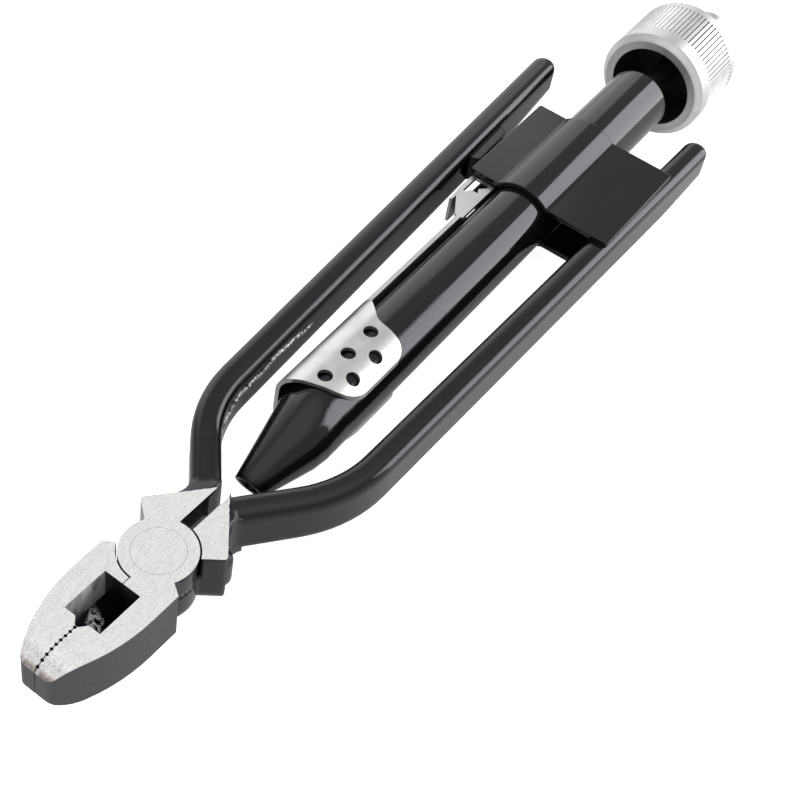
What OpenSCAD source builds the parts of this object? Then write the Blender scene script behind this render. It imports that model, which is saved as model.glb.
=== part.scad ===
// Safety wire pliers: lap-jointed jaws, tapered barrel, pull-out spiral rod and sliding latch.
// The origin is on the pivot axis at the head's lower face, +X runs back to the knob, +Z is up.

/* [Head] */
// Thickness of the jaws and of the lap joint
head_t = 10.5; // [8:0.1:14]
// Distance from the pivot to the jaw tip
nose_x = 27.9; // [27:0.1:31]
// Greatest half width of the closed jaws
jaw_half_w = 8.05; // [7.6:0.05:10]
// Distance from the pivot to the widest point of the jaws
jaw_crown_x = 10.5; // [9:0.1:12]
// Radius of the jaws' curved sides
jaw_side_r = 33; // [30:0.5:45]
// Distance from the pivot to the jaw's heel corner
jaw_heel_x = 4.4; // [4:0.1:5.5]
// Thickness left at the jaw tip
nose_tip_t = 6.1; // [4:0.1:7.5]
// Length of the bevel on the nose
nose_bevel_l = 5.2; // [3:0.1:6]
// Rounding of the nose's outer corners
nose_corner_r = 2; // [0.6:0.1:2.4]
// Angle of the closed jaws to the barrel's axis
head_turn = 1.8; // [0:0.1:3]
// Gap between the closed jaws
jaw_gap = 0.15; // [0.1:0.01:0.3]

/* [Teeth and cutters] */
// Number of gripping teeth
tooth_count = 10; // [6:1:10]
// Distance from one tooth to the next
tooth_pitch = 1; // [0.8:0.05:1]
// Depth of a tooth groove in one jaw
tooth_depth = 0.38; // [0.2:0.01:0.4]
// Distance from the pivot to the front of the cutter window
window_front_x = 17.5; // [16:0.1:18]
// Distance from the pivot to the back of the cutter window
window_back_x = 8.4; // [8:0.1:10]
// Half width of the cutter window
window_half_w = 3.7; // [3:0.1:4.2]
// Height where the window wall turns into the blade's slope
blade_heel_z = 4; // [3:0.1:5.5]
// Height of the cutting edge
blade_edge_z = 1.2; // [0.6:0.1:2]

/* [Pivot] */
// Radius of the lap joint's bosses
boss_r = 6.6; // [6.2:0.1:7]
// Radius of the pivot rivet
rivet_r = 4.55; // [3.5:0.05:5]
// Gap between a boss and the other half of the pliers
boss_gap = 0.32; // [0.15:0.01:0.35]
// Gap between the two faces of the lap joint
lap_gap = 0.1; // [0.05:0.01:0.2]
// Radial clearance of the rivet in the swinging half
rivet_fit = 0.05; // [0.02:0.01:0.1]
// Radial clearance of the rivet in the fixed half
rivet_seat_fit = 0.02; // [0.01:0.01:0.05]

/* [Shoulders] */
// Distance of the ear's tip behind the pivot
ear_x = 6; // [5.5:0.1:7]
// Distance of the ear's tip from the middle line
ear_y = 9.4; // [8.6:0.1:11]
// Rounding of the ear's tip
ear_tip_r = 0.7; // [0.4:0.1:1]
// Radius of the round lug under the ear's ground face
lug_r = 2; // [1.8:0.1:2.3]
// Rounding of the lug's rims
lug_rim_r = 1.6; // [1:0.1:1.7]
// How far the lug stands out past the end of the ground face
lug_reach = 1; // [0.6:0.1:1.3]
// Gap between the two shoulders behind the pivot
shoulder_gap = 2.6; // [2:0.1:3.6]
// Distance from the pivot to the end of the ground face
shoulder_tip_x = 16; // [14:0.1:17]
// Fillet between the ear and the handle's neck
neck_fillet_r = 3.5; // [2:0.1:4.5]
// Length of the slope from the ground face down to the handle
neck_slope_l = 2; // [1:0.1:3]

/* [Handles] */
// Width of the handle bar
handle_w = 5.3; // [4.6:0.1:6.4]
// Thickness of the handle bar
handle_t = 9.6; // [8.8:0.1:10]
// Rounding of the bar's long edges
handle_edge_r = 1.8; // [1:0.1:2.2]
// Angle of the neck to the middle line
neck_angle = 38.7; // [34:0.1:42]
// Distance of the bends' corners behind the pivot
bend_x = 30.5; // [30:0.1:34]
// Radius of the bends at the middle of the bar
bend_r = 25; // [16:0.5:28]
// Distance of the fixed handle's bend from the middle line
fixed_bend_y = 15.8; // [15.2:0.1:17]
// Angle of the fixed handle's long run to the middle line
fixed_rake = 1.7; // [0.5:0.1:2.5]
// Distance from the pivot to the fixed handle's end
fixed_end_x = 155.5; // [150:0.5:160]
// Distance of the swinging handle's bend from the middle line
swing_bend_y = 14.8; // [14.4:0.1:16]
// Angle of the swinging handle's long run to the middle line
swing_rake = 2.3; // [1.5:0.1:3]
// Distance from the pivot to the swinging handle's end
swing_end_x = 157; // [150:0.5:160]
// Rise of the handles' underside towards their ends
tail_rise = 3.6; // [0:0.1:4]

/* [Barrel] */
// Outer radius of the barrel
barrel_r = 7; // [6.6:0.05:7.4]
// Wall of the barrel
barrel_wall = 1; // [0.8:0.05:1.3]
// Distance from the pivot to the barrel's rear end
barrel_end_x = 164; // [162:0.5:166]
// Distance from the pivot to the upper lip of the barrel's nose
lip_front_x = 21.8; // [21:0.1:23]
// Slope of the nose cone
nose_cone_angle = 13.7; // [12.5:0.1:15]
// Radius of the nose at its front end
nose_r = 2.65; // [2.5:0.05:3]
// Distance of the nose cone's axis from the barrel's axis
nose_offset = 0.8; // [0.2:0.1:1]
// Depth that the shoulder takes off the edge between tube and cone
nose_shoulder = 0.2; // [0.05:0.05:0.3]
// Slope of the cut across the nose's mouth
mouth_rake = 22; // [5:1:30]
// Radius of the hole in the nose
nose_bore_r = 2.1; // [1.8:0.05:2.2]
// Length of the nose bush
bush_l = 3; // [2:0.1:4]
// Wall of the nose bush
bush_wall = 0.7; // [0.5:0.05:0.9]
// Clearance of pieces pressed into the barrel
press_fit = 0.02; // [0.01:0.01:0.04]

/* [Bracket] */
// Distance from the pivot to the bracket's front edge
bracket_x = 112.3; // [110:0.1:118]
// Length of the bracket along the barrel
bracket_l = 27.4; // [24:0.1:30]
// Distance of the lower plate's front edge behind the upper one
lower_setback = 2.2; // [0:0.1:4]
// Sheet thickness of the bracket plates
bracket_t = 1; // [0.8:0.05:1.2]
// Gap between the barrel and the bracket's arch
bracket_gap = 0.15; // [0.05:0.01:0.25]
// Width of the free wing beyond the barrel's axis
free_wing_y = 12.2; // [11.8:0.1:13]
// Reach of the welded wing onto the fixed handle
weld_lap = 4.1; // [1.5:0.1:4.3]
// Fillet between the arch and the welded wing
arch_fillet_r = 2; // [1:0.1:3]
// Rounding of the wings' corners
wing_corner_r = 0.5; // [0.3:0.1:3]
// Gap between the wings and the top of the handle
weld_gap = 0.05; // [0.02:0.01:0.1]

/* [Latch] */
// Sheet thickness of the latch
latch_t = 0.8; // [0.7:0.05:0.9]
// Gap between the barrel and the latch
latch_gap = 0.2; // [0.15:0.01:0.3]
// Distance from the pivot to the front of the thumb pads
pad_x = 41.6; // [41:0.1:43]
// Length of the thumb pads in front of the first hole
pad_front_l = 4.1; // [3.6:0.1:5]
// Length of the thumb pads behind the last hole
pad_rear_l = 7.9; // [7:0.1:9]
// Angle from the top to the free edge of a pad
pad_wrap = 48; // [44:1:54]
// Radius of the bend beside the barrel, inside
pad_bend_r = 5; // [3.5:0.1:5.5]
// Radius of the holes in the thumb pads
pad_hole_r = 1.4; // [1:0.05:1.6]
// Distance between holes in a row
pad_hole_pitch = 7; // [6:0.1:7.2]
// Half height of the strip beside the barrel
strip_half_h = 3.5; // [3:0.1:3.8]
// Distance from the pivot to the rear end of the strip's web
strip_end_x = 104; // [100:0.5:105]
// Distance from the pivot to the rear end of the hook plate
hook_end_x = 117; // [115:0.5:119]
// Distance of the hook plate's outer edge from the axis
hook_y = 11.6; // [11.2:0.1:11.8]
// Travel of the latch towards the knob
latch_travel = 3; // [2:0.1:3.5]

/* [Catch] */
// Distance from the pivot to the front of the catch's foot
catch_x = 118; // [117:0.5:120]
// Length of the catch's foot on the handle
catch_l = 13; // [11:0.5:16]
// Half height of the catch's foot
catch_half_h = 3; // [2.4:0.1:3.4]
// Half height of the catch's finger
finger_half_h = 1.6; // [1.2:0.1:1.7]
// Distance of the finger's inner side from the axis
finger_y = 8.7; // [8.5:0.05:8.9]
// Width of the finger
finger_w = 1.7; // [1.3:0.1:1.8]

/* [Spindle] */
// Width of the twisted square rod
rod_w = 4.8; // [4:0.1:5.2]
// Chamfer on the rod's four edges
rod_chamfer = 0.7; // [0.4:0.05:1]
// Advance of the rod for one turn
rod_lead = 28; // [24:0.5:36]
// Clearance between the rod and the twist nut
nut_gap = 0.2; // [0.15:0.01:0.3]
// Thickness of the twist nut
nut_t = 7; // [5:0.1:8]
// Distance from the twist nut to the barrel's rear end
nut_inset = 3.8; // [3.4:0.1:5]
// Radius of the studs turned on the front end of the rod
front_stud_r = 1.7; // [1.4:0.1:2]
// Thickness of the spring follower
follower_t = 2.5; // [2:0.1:4]
// Radial clearance of the follower in the barrel and on its stud
follower_fit = 0.08; // [0.05:0.01:0.1]
// Thickness of the clip, washer and ring
clip_t = 0.8; // [0.6:0.05:1.2]
// End play of the follower between its clip and the rod
end_play = 0.1; // [0.05:0.01:0.2]
// Wire diameter of the return spring
spring_wire_d = 0.9; // [0.7:0.05:1.1]
// Turns of the return spring
spring_turns = 18; // [12:1:22]

/* [Knob] */
// Outer radius of the knob
knob_r = 12.4; // [11.5:0.1:14]
// Distance from the pivot to the knob's front face
knob_x = 170; // [167:0.5:175]
// Length of the knob without its end cap
knob_l = 18; // [16:0.5:22]
// Radius of the knob's bore
knob_bore_r = 9.3; // [8.6:0.1:9.8]
// Depth of the knob's bore
knob_bore_l = 12.4; // [11:0.1:14]
// Chamfer on the knob's front rim
knob_rim = 1.3; // [0.8:0.1:1.6]
// Rounding of the knob's rear edge
knob_back_r = 1.2; // [0.6:0.1:2]
// Smooth band in front of the knurl
knurl_front = 4.6; // [3:0.1:6]
// Smooth band behind the knurl
knurl_back = 2.8; // [2:0.1:4]
// Number of knurl ridges
knurl_count = 76; // [60:1:80]
// Depth of the knurl
knurl_depth = 0.3; // [0.2:0.01:0.4]
// Radius of the end cap
cap_r = 4.2; // [3.4:0.1:5]
// Length of the end cap
cap_l = 13; // [10:0.5:16]
// Radius of the rod's rear stud
rear_stud_r = 2.2; // [1.8:0.1:2.2]

/* [Hidden] */
$fn = 64;

// Height of the middle plane, where the barrel's axis lies
mid_z = head_t / 2;
// Overlap that makes a cut run clear of a face
over = 1;
// Hair by which one shape runs over the next so that the two fuse
lap = 0.01;
// Steps of an arc in a sheet outline
arc_steps = 8;

// Colours as the object shows them
ground_steel = [0.85, 0.85, 0.83];
black_paint = [0.1, 0.1, 0.11];
zinc = [0.82, 0.83, 0.84];
blackened = [0.16, 0.16, 0.17];
spring_steel = [0.55, 0.56, 0.58];
alloy = [0.8, 0.81, 0.82];
brass = [0.72, 0.58, 0.3];

// Handle paths: distance of the bend from the middle line, angle of the run, end of the handle
fixed_path = [fixed_bend_y, fixed_rake, fixed_end_x];
swing_path = [swing_bend_y, swing_rake, swing_end_x];
neck_dir = [cos(neck_angle), sin(neck_angle)];
neck_left = [-sin(neck_angle), cos(neck_angle)];
// Reach by which one length of bar runs over the next
bar_over = 0.1;

// Shoulder line, ear and the end of the ground face
shoulder_y = shoulder_gap / 2;
ear_tip = [ear_x, ear_y];
face_end = [shoulder_tip_x, shoulder_y];
face_dir = unit(face_end - ear_tip);
face_out = [-face_dir.y, face_dir.x];

// Tangent points of a handle's bend, the bend's centre and the length of the long run
function run_dir(path) = [cos(path[1]), sin(path[1])];
function bend_tangent(path) = bend_r * tan((neck_angle - path[1]) / 2);
function bend_in(path) = [bend_x, path[0]] - neck_dir * bend_tangent(path);
function bend_out(path) = [bend_x, path[0]] + run_dir(path) * bend_tangent(path);
function bend_centre(path) = bend_in(path) - neck_left * bend_r;
function run_l(path) = (path[2] - handle_w / 2 - bend_out(path).x) / run_dir(path).x;

// Foot of a handle's neck on the shoulder line
function neck_root(path) =
    let (inner = bend_in(path) - neck_left * handle_w / 2)
    inner - neck_dir * (inner.y - shoulder_y) / neck_dir.y;

// Handle centre line at a distance behind the pivot
function handle_y(path, x) = path[0] + (x - bend_x) * tan(path[1]);

// Point turned about the pivot
function spun(p, angle) = [p.x * cos(angle) - p.y * sin(angle), p.x * sin(angle) + p.y * cos(angle)];

// Barrel and nose
bore_r = barrel_r - barrel_wall;
nose_full_x = lip_front_x + (barrel_r + nose_offset - nose_r) / tan(nose_cone_angle);
bore_start_x = nose_full_x + barrel_wall;
bush_inset = 0.5;
bush_x = lip_front_x + 2 * nose_r * tan(mouth_rake) + bush_inset;

// Bracket: the wings lie on the handle, the arch lies round the barrel
wing_in = handle_t / 2 + weld_gap;
wing_out = wing_in + bracket_t;
arch_in = barrel_r + bracket_gap;
arch_out = arch_in + bracket_t;
bracket_mid_x = bracket_x + bracket_l / 2;
weld_wing_y = handle_y(fixed_path, bracket_mid_x) - handle_w / 2 + weld_lap;

// Latch: wrapped round the barrel, with a bend on the free side
latch_in = barrel_r + latch_gap;
latch_out = latch_in + latch_t;
pad_l = pad_front_l + 2 * pad_hole_pitch + pad_rear_l;
pad_end_x = pad_x + pad_l;
pad_free_y = latch_out * sin(pad_wrap);
hook_gap = 0.4;
hook_top = wing_in - hook_gap;
hook_low = hook_top - latch_t;
hook_in_y = sqrt(latch_in * latch_in - hook_low * hook_low);

// Lip that passes outside the finger over two thirds of the travel
lip_gap = 0.4;
lip_l = 2.6;
lip_x = strip_end_x - latch_t;
finger_tip_x = lip_x + lip_l + latch_travel / 3;

// Latch spring between the hook plate's tab and the tab under the bracket
latch_spring_r = 1.05;
latch_spring_wire = 0.4;
latch_spring_turns = 9;
latch_spring_gap = 0.1;
latch_spring_y = (hook_in_y + hook_y) / 2;
latch_spring_z = wing_in - latch_spring_r - latch_spring_gap;
spring_stop_x = hook_end_x + latch_travel + 3 * latch_spring_turns * latch_spring_wire + bracket_t;
tab_half_w = 1;
tab_low = latch_spring_z - latch_spring_r;

// Spindle stack, from the front end of the rod to the knob
rod_tip_l = 0.6;
rod_front_x = bore_start_x - rod_tip_l - clip_t;
clip_x = rod_front_x + rod_tip_l;
follower_x = clip_x + clip_t + end_play;
rod_square_x = follower_x + follower_t + end_play;
nut_end_x = barrel_end_x - nut_inset;
nut_x = nut_end_x - nut_t;
washer_x = nut_x - clip_t - press_fit;
ring_groove = 0.35;
ring_inner = 1;
knob_end_x = knob_x + knob_l;
knob_floor_x = knob_x + knob_bore_l;
rod_shoulder_x = knob_floor_x - press_fit;
rear_stud_end_x = knob_end_x + cap_l - cap_r;
spring_gap = 0.4;
spring_r = bore_r - spring_wire_d / 2 - spring_gap;
spring_front_x = rod_square_x + spring_wire_d / 2;
spring_back_x = washer_x - spring_wire_d / 2 - end_play;
twist_steps_per_turn = 30;

function unit(v) = v / norm(v);

// Point where two lines cross, each given by a point and a direction
function meet(p, u, q, v) =
    let (det = u.x * v.y - u.y * v.x, d = q - p)
    p + u * (d.x * v.y - d.y * v.x) / det;

// Points of an arc that rounds corner b between a and c
function corner_arc(a, b, c, r) =
    let (u = unit(a - b), v = unit(c - b), half = acos(u * v) / 2)
    let (centre = b + unit(u + v) * r / sin(half))
    let (start = b + u * r / tan(half) - centre, stop = b + v * r / tan(half) - centre)
    let (a0 = atan2(start.y, start.x), turn = atan2(stop.y, stop.x) - a0)
    let (sweep = turn > 180 ? turn - 360 : turn < -180 ? turn + 360 : turn)
    [for (i = [0:arc_steps]) centre + r * [cos(a0 + sweep * i / arc_steps), sin(a0 + sweep * i / arc_steps)]];

// Outline with rounded corners, from points that each hold x, y and a radius
function rounded(points) =
    let (n = len(points))
    [for (i = [0:n - 1])
        let (p = points[i], a = points[(i + n - 1) % n], c = points[(i + 1) % n])
        each p[2] > 0 ? corner_arc([a.x, a.y], [p.x, p.y], [c.x, c.y], p[2]) : [[p.x, p.y]]];

// Fillet that fills the corner between two directions
module corner_fill(corner, u, v, r) {
    half = acos(u * v) / 2;
    centre = corner + unit(u + v) * r / sin(half);
    difference() {
        polygon([corner, corner + u * r / tan(half), centre, corner + v * r / tan(half)]);
        translate(centre) circle(r);
    }
}

// Waste outside the rounding of an outer corner, a hair clear of the sides
module corner_waste(corner, u, v, r) {
    half = acos(u * v) / 2;
    inward = unit(u + v);
    centre = corner + inward * r / sin(half);
    reach = r + lap / 2;
    difference() {
        polygon([corner - inward * over, centre + unit(corner + u * r / tan(half) - centre) * reach,
                 centre, centre + unit(corner + v * r / tan(half) - centre) * reach]);
        translate(centre) circle(r + lap);
    }
}

// Turns a shape's z axis onto the barrel's axis, with its y axis upright
module along_x(x = 0) {
    translate([x, 0, mid_z]) rotate([90, 0, 90]) children();
}

// Solid of revolution about the barrel's axis, from an outline in x and radius
module turned() {
    translate([0, 0, mid_z]) rotate([0, 90, 0]) rotate_extrude() rotate(90) mirror([0, 1]) children();
}

// Other half of a shape, turned half round the middle line
module flipped() {
    translate([0, 0, mid_z]) rotate([180, 0, 0]) translate([0, 0, -mid_z]) children();
}

// Disc about the barrel's axis
module disc(x, l, r) {
    along_x(x) cylinder(h = l, r = r);
}

// Closed coil along the barrel's direction, swept ring by ring
module coil(x0, x1, y, z, r, wire_r, turns, per_turn, sides) {
    rings = turns * per_turn;
    slope = (x1 - x0) / turns / (2 * PI * r);
    points = [for (i = [0:rings], k = [0:sides - 1])
        let (a = 360 * i / per_turn, b = 360 * k / sides, q = r + wire_r * cos(b), s = wire_r * sin(b))
        [x0 + (x1 - x0) * i / rings + s, y + q * cos(a) + s * slope * sin(a), z + q * sin(a) - s * slope * cos(a)]];
    walls = [for (i = [0:rings - 1], k = [0:sides - 1])
        let (a = i * sides + k, b = i * sides + (k + 1) % sides)
        each [[a, b, a + sides], [b, b + sides, a + sides]]];
    first = [for (k = [0:sides - 1]) sides - 1 - k];
    last = [for (k = [0:sides - 1]) rings * sides + k];
    polyhedron(points, concat([first], walls, [last]), convexity = 10);
}

// Head and handle of the pliers

// Plan of the jaw on the -Y side
module jaw_plan() {
    heel_lean = 1.4;
    heel_foot = [-jaw_heel_x + heel_lean, -boss_r * 0.9];
    top = -jaw_gap / 2;
    crown_centre = [-jaw_crown_x, jaw_side_r - jaw_half_w];
    run = nose_x - jaw_crown_x;
    fall = sqrt(jaw_side_r * jaw_side_r - run * run);
    difference() {
        intersection() {
            translate(crown_centre) circle(jaw_side_r, $fn = 256);
            translate([-nose_x, -jaw_half_w - over]) square([run, jaw_half_w + over + top]);
        }
        corner_waste([-nose_x, crown_centre.y - fall], [0, 1], [fall, -run] / jaw_side_r, nose_corner_r);
    }
    polygon([[-jaw_crown_x, top], [-jaw_crown_x, -jaw_half_w], [-jaw_heel_x, -jaw_half_w],
             heel_foot, [-heel_lean, top]]);
}

// Plan of the shoulder with its ear, on the +Y side, for a head turned by an angle
module shoulder_plan(path, angle) {
    root_angle = 62;
    heel = spun(boss_r * [cos(root_angle), sin(root_angle)], angle);
    tip = spun(ear_tip, angle);
    edge_dir = spun(face_dir, angle);
    root = neck_root(path);
    valley = meet(tip, edge_dir, root + neck_left * handle_w, neck_dir);
    difference() {
        polygon([spun([0, shoulder_y], angle), spun(face_end, angle), root, root + neck_left * handle_w,
                 valley, tip, heel]);
        corner_waste(tip, unit(heel - tip), unit(valley - tip), ear_tip_r);
    }
    corner_fill(valley, -edge_dir, neck_dir, neck_fillet_r);
}

// Round lug that swells out under the ear's ground face
module ear_lug(angle) {
    inset = 0.2;
    rim_drop = 1.4;
    place = spun(ear_tip + face_out * (lug_reach - lug_r) + face_dir * (lug_r + inset), angle);
    half = mid_z - rim_drop;
    core = lug_r - lug_rim_r;
    translate([place.x, place.y, mid_z]) rotate_extrude() {
        translate([0, -half]) square([core, 2 * half]);
        translate([0, lug_rim_r - half]) square([lug_r, 2 * (half - lug_rim_r)]);
        for (side = [-1, 1]) intersection() {
            translate([core, side * (half - lug_rim_r)]) circle(lug_rim_r);
            translate([0, -half]) square([lug_r, 2 * half]);
        }
    }
}

// Thickness of the shoulder, which slopes down to the handle past the ground face
module shoulder_depth() {
    drop = (head_t - handle_t) / 2;
    reach = nose_x;
    translate([ear_tip.x, ear_tip.y, 0]) rotate([90, 0, atan2(face_out.y, face_out.x)])
        translate([0, 0, -reach]) linear_extrude(2 * reach)
            polygon([[-reach, 0], [0, 0], [neck_slope_l, drop], [reach, drop],
                     [reach, head_t - drop], [neck_slope_l, head_t - drop], [0, head_t], [-reach, head_t]]);
}

// Section of the handle bar, grown a hair where it runs over the next length
module bar_section(grow = 0) {
    x = handle_w / 2 - handle_edge_r;
    y = handle_t / 2 - handle_edge_r;
    square([2 * x, handle_t + 2 * grow], center = true);
    square([handle_w + 2 * grow, 2 * y], center = true);
    for (sx = [-1, 1], sy = [-1, 1]) translate([sx * x, sy * y]) circle(handle_edge_r + grow);
}

// Straight length of the handle bar from a point along an angle
module straight_bar(start, angle, length) {
    translate([start.x, start.y, mid_z]) rotate(angle) rotate([90, 0, 90])
        linear_extrude(length) bar_section(lap);
}

// Waste that thins the rear of a handle, from below or from above
module tail_cut(path, side) {
    run = path[2] - bracket_mid_x;
    translate([bracket_mid_x, handle_y(path, bracket_mid_x), mid_z]) rotate(path[1]) mirror([0, 0, side])
        translate([0, 0, -handle_t / 2]) rotate([0, -atan2(tail_rise, run), 0])
            translate([0, -handle_w, -handle_t]) cube([2 * run, 2 * handle_w, handle_t]);
}

// Handle on the +Y side: neck, bend, long run and rounded end
module handle(path) {
    start = bend_in(path);
    stop = bend_out(path);
    neck_l = norm(start - neck_left * handle_w / 2 - neck_root(path));
    run_end = stop + run_dir(path) * run_l(path);
    centre = bend_centre(path);
    straight_bar(start - neck_dir * neck_l, neck_angle, neck_l + bar_over);
    straight_bar(stop - run_dir(path) * bar_over, path[1], run_l(path) + 2 * bar_over);
    translate([centre.x, centre.y, mid_z]) rotate(90 + path[1])
        rotate_extrude(angle = neck_angle - path[1], $fn = 128) translate([bend_r, 0]) bar_section();
    translate([run_end.x, run_end.y, mid_z]) rotate(path[1] - 90)
        rotate_extrude(angle = 180) intersection() {
            bar_section();
            translate([0, -handle_t / 2]) square([handle_w / 2, handle_t]);
        }
}

// Half of the pliers with its boss in the upper lap; side tells which face of the tail is cut
module lever_blank(path, angle, bore, side) {
    difference() {
        union() {
            linear_extrude(head_t) rotate(angle) jaw_plan();
            intersection() {
                linear_extrude(head_t) shoulder_plan(path, angle);
                rotate(angle) shoulder_depth();
            }
            ear_lug(angle);
            translate([0, 0, mid_z]) cylinder(h = mid_z, r = boss_r);
            handle(path);
        }
        translate([0, 0, -over]) cylinder(h = mid_z + lap_gap / 2 + over, r = boss_r + boss_gap);
        translate([0, 0, -over]) cylinder(h = head_t + 2 * over, r = bore);
        rotate(angle) nose_bevels();
        rotate(angle) teeth();
        tail_cut(path, side);
    }
}

// Rounded bevels on both faces of the nose
module nose_bevels() {
    drop = (head_t - nose_tip_t) / 2;
    bevel_r = (nose_bevel_l * nose_bevel_l + drop * drop) / (2 * drop);
    sweep = acos(1 - drop / bevel_r);
    rotate([90, 0, 0]) translate([0, 0, -jaw_half_w - over]) linear_extrude(2 * (jaw_half_w + over))
        for (side = [0, 1]) translate([0, side * head_t]) mirror([0, side])
            polygon(concat([[-nose_x - over, drop], [-nose_x - over, -over], [-nose_x + nose_bevel_l, -over]],
                           [for (i = [0:arc_steps]) let (a = sweep * i / arc_steps)
                               [-nose_x + nose_bevel_l - bevel_r * sin(a), bevel_r * (1 - cos(a))]]));
}

// Row of gripping teeth across the parting line
module teeth() {
    tip_share = 0.8;
    first_x = -nose_x + tooth_pitch * tip_share;
    for (i = [0:tooth_count - 1]) translate([first_x + i * tooth_pitch, 0, -over])
        rotate(45) translate([-tooth_depth / sqrt(2), -tooth_depth / sqrt(2)])
            cube([tooth_depth * sqrt(2), tooth_depth * sqrt(2), head_t + 2 * over]);
}

// Window above the side cutters, with the blades' slopes at its floor
module cutter_window() {
    throat_l = 1.3;
    throat_half_w = 1.5;
    throat_tip = 0.3;
    translate([-window_front_x, 0, 0]) rotate([90, 0, 90]) linear_extrude(window_front_x - window_back_x)
        polygon([[0, blade_edge_z], [window_half_w, blade_heel_z], [window_half_w, head_t + over],
                 [-window_half_w, head_t + over], [-window_half_w, blade_heel_z]]);
    translate([0, 0, blade_heel_z]) linear_extrude(head_t)
        polygon([[-window_front_x - throat_l, throat_tip], [-window_front_x + bar_over, throat_half_w],
                 [-window_front_x + bar_over, -throat_half_w], [-window_front_x - throat_l, -throat_tip]]);
}

module swing_lever() {
    color(black_paint) difference() {
        lever_blank(swing_path, -head_turn, rivet_r + rivet_fit, 0);
        rotate(-head_turn) cutter_window();
    }
}

module fixed_lever() {
    color(black_paint) difference() {
        flipped() lever_blank(fixed_path, head_turn, rivet_r + rivet_seat_fit, 1);
        rotate(-head_turn) cutter_window();
    }
}

module pivot_rivet() {
    color(ground_steel) cylinder(h = head_t, r = rivet_r);
}

// Catch welded to the swinging handle: a foot, an arm and a finger that the latch holds
module catch_finger() {
    foot_end_x = catch_x + catch_l;
    foot_y = handle_y(swing_path, catch_x) - handle_w / 2 - weld_gap;
    foot_back_y = handle_y(swing_path, foot_end_x) - handle_w / 2 - weld_gap;
    foot_reach = 1.8;
    foot_slope = 1;
    arm_inset = 1.5;
    tip_round = 0.6;
    elbow_round = 1;
    color(black_paint) {
        translate([0, 0, mid_z - catch_half_h]) linear_extrude(2 * catch_half_h)
            polygon([[catch_x, foot_y], [catch_x + foot_slope, foot_y - foot_reach],
                     [foot_end_x - foot_slope, foot_back_y - foot_reach], [foot_end_x, foot_back_y]]);
        translate([0, 0, mid_z - finger_half_h]) linear_extrude(2 * finger_half_h)
            polygon(rounded([[finger_tip_x, finger_y, tip_round], [foot_end_x - arm_inset, finger_y, 0],
                             [foot_end_x - arm_inset, foot_back_y - foot_reach + bar_over, 0],
                             [catch_x + arm_inset, foot_y - foot_reach + bar_over, 0],
                             [catch_x + arm_inset, finger_y + finger_w, elbow_round],
                             [finger_tip_x, finger_y + finger_w, tip_round]]));
    }
}

// Barrel and bracket

// Cone that widens backwards from a radius at a distance, set off towards -Y
module taper(x, r, angle, offset) {
    wide_r = barrel_r + nose_offset + over;
    front_r = r - (x - lip_front_x) * tan(angle);
    translate([0, -offset, 0]) turned()
        polygon([[lip_front_x, 0], [lip_front_x, front_r], [x + (wide_r - r) / tan(angle), wide_r],
                 [barrel_end_x + over, wide_r], [barrel_end_x + over, 0]]);
}

// Outside of the barrel: a tube that a slightly eccentric cone trims to a nose, with a shoulder between them
module barrel_body() {
    edge_x = lip_front_x + (barrel_r - nose_r) / tan(nose_cone_angle);
    intersection() {
        disc(lip_front_x, barrel_end_x - lip_front_x, barrel_r);
        taper(lip_front_x, nose_r, nose_cone_angle, nose_offset);
        taper(edge_x, barrel_r - nose_shoulder, nose_cone_angle / 2, nose_offset / 2);
    }
}

// Hollow of the barrel in x and radius, with the groove of the retaining ring
module barrel_hollow() {
    cone_front_x = bush_x + bush_l + barrel_wall;
    polygon([[cone_front_x, 0], [cone_front_x, nose_bore_r], [bore_start_x, bore_r],
             [barrel_end_x + over, bore_r], [barrel_end_x + over, 0]]);
    translate([nut_end_x + press_fit, 0]) square([clip_t + 2 * press_fit, bore_r + ring_groove]);
}

// Waste in front of the nose's sloping mouth
module mouth_cut() {
    reach = 2 * barrel_r;
    translate([lip_front_x, -nose_offset, mid_z + nose_r]) rotate([0, -mouth_rake, 0])
        translate([-reach, -reach / 2, -reach / 2]) cube(reach);
}

module barrel() {
    color(black_paint) difference() {
        barrel_body();
        turned() barrel_hollow();
        translate([0, -nose_offset, 0])
            disc(lip_front_x - over, bush_x + bush_l + barrel_wall + 2 * over - lip_front_x, nose_bore_r);
        mouth_cut();
    }
}

// Plain bush inside the nose
module nose_bush() {
    outer_r = nose_bore_r - press_fit;
    color(blackened) translate([0, -nose_offset, 0]) difference() {
        disc(bush_x, bush_l, outer_r);
        disc(bush_x - over, bush_l + 2 * over, outer_r - bush_wall);
    }
}

// Section of the upper bracket plate, with the fixed handle on its -Y side
module bracket_section() {
    difference() {
        union() {
            intersection() {
                circle(arch_out, $fn = 128);
                translate([-arch_out, wing_in]) square([2 * arch_out, arch_out]);
            }
            translate([-weld_wing_y, wing_in]) square([weld_wing_y + free_wing_y, bracket_t]);
        }
        circle(arch_in, $fn = 128);
    }
}

// Section of the fillet between the arch and the welded wing
module bracket_fillet() {
    fillet_y = sqrt(pow(arch_out + arch_fillet_r, 2) - pow(wing_out + arch_fillet_r, 2));
    centre = [-fillet_y, wing_out + arch_fillet_r];
    seat = bracket_t / 2;
    inner = unit(centre) * (arch_out - seat);
    difference() {
        polygon([[-fillet_y, wing_out - seat], centre, inner, [inner.x, wing_out - seat]]);
        translate(centre) circle(arch_fillet_r - lap);
        circle(arch_out - seat, $fn = 128);
    }
}

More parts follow.
